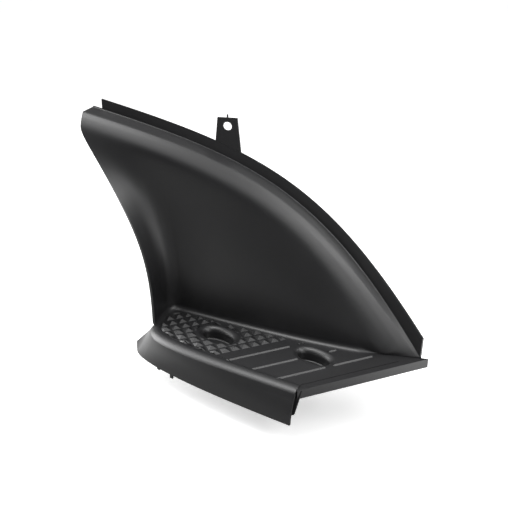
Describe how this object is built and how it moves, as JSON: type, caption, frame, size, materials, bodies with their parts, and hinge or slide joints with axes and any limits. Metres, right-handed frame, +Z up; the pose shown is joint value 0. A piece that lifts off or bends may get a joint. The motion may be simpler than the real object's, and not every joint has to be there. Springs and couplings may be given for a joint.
{
  "type": "scooter floorboard",
  "caption": "Left-hand scooter floorboard moulding with a studded, ribbed foot tread, screw wells, a tall leg-side wall, an upper fixing tab and an outer skirt",
  "frame": {"origin": "middle of the front screw seat, on its upper face, at the axis of the screw hole", "axes": "+X to the rear of the scooter, +Y inboard to its middle, +Z up; the tread is level"},
  "size_m": [0.3549, 0.1403, 0.2664],
  "materials": {
    "black_plastic": "black polypropylene with a fine moulded grain, matt on the wall and tread, worn to no shine"
  },
  "bodies": {
    "root": {"floorboard": "black_plastic"}
  },
  "joints": []
}
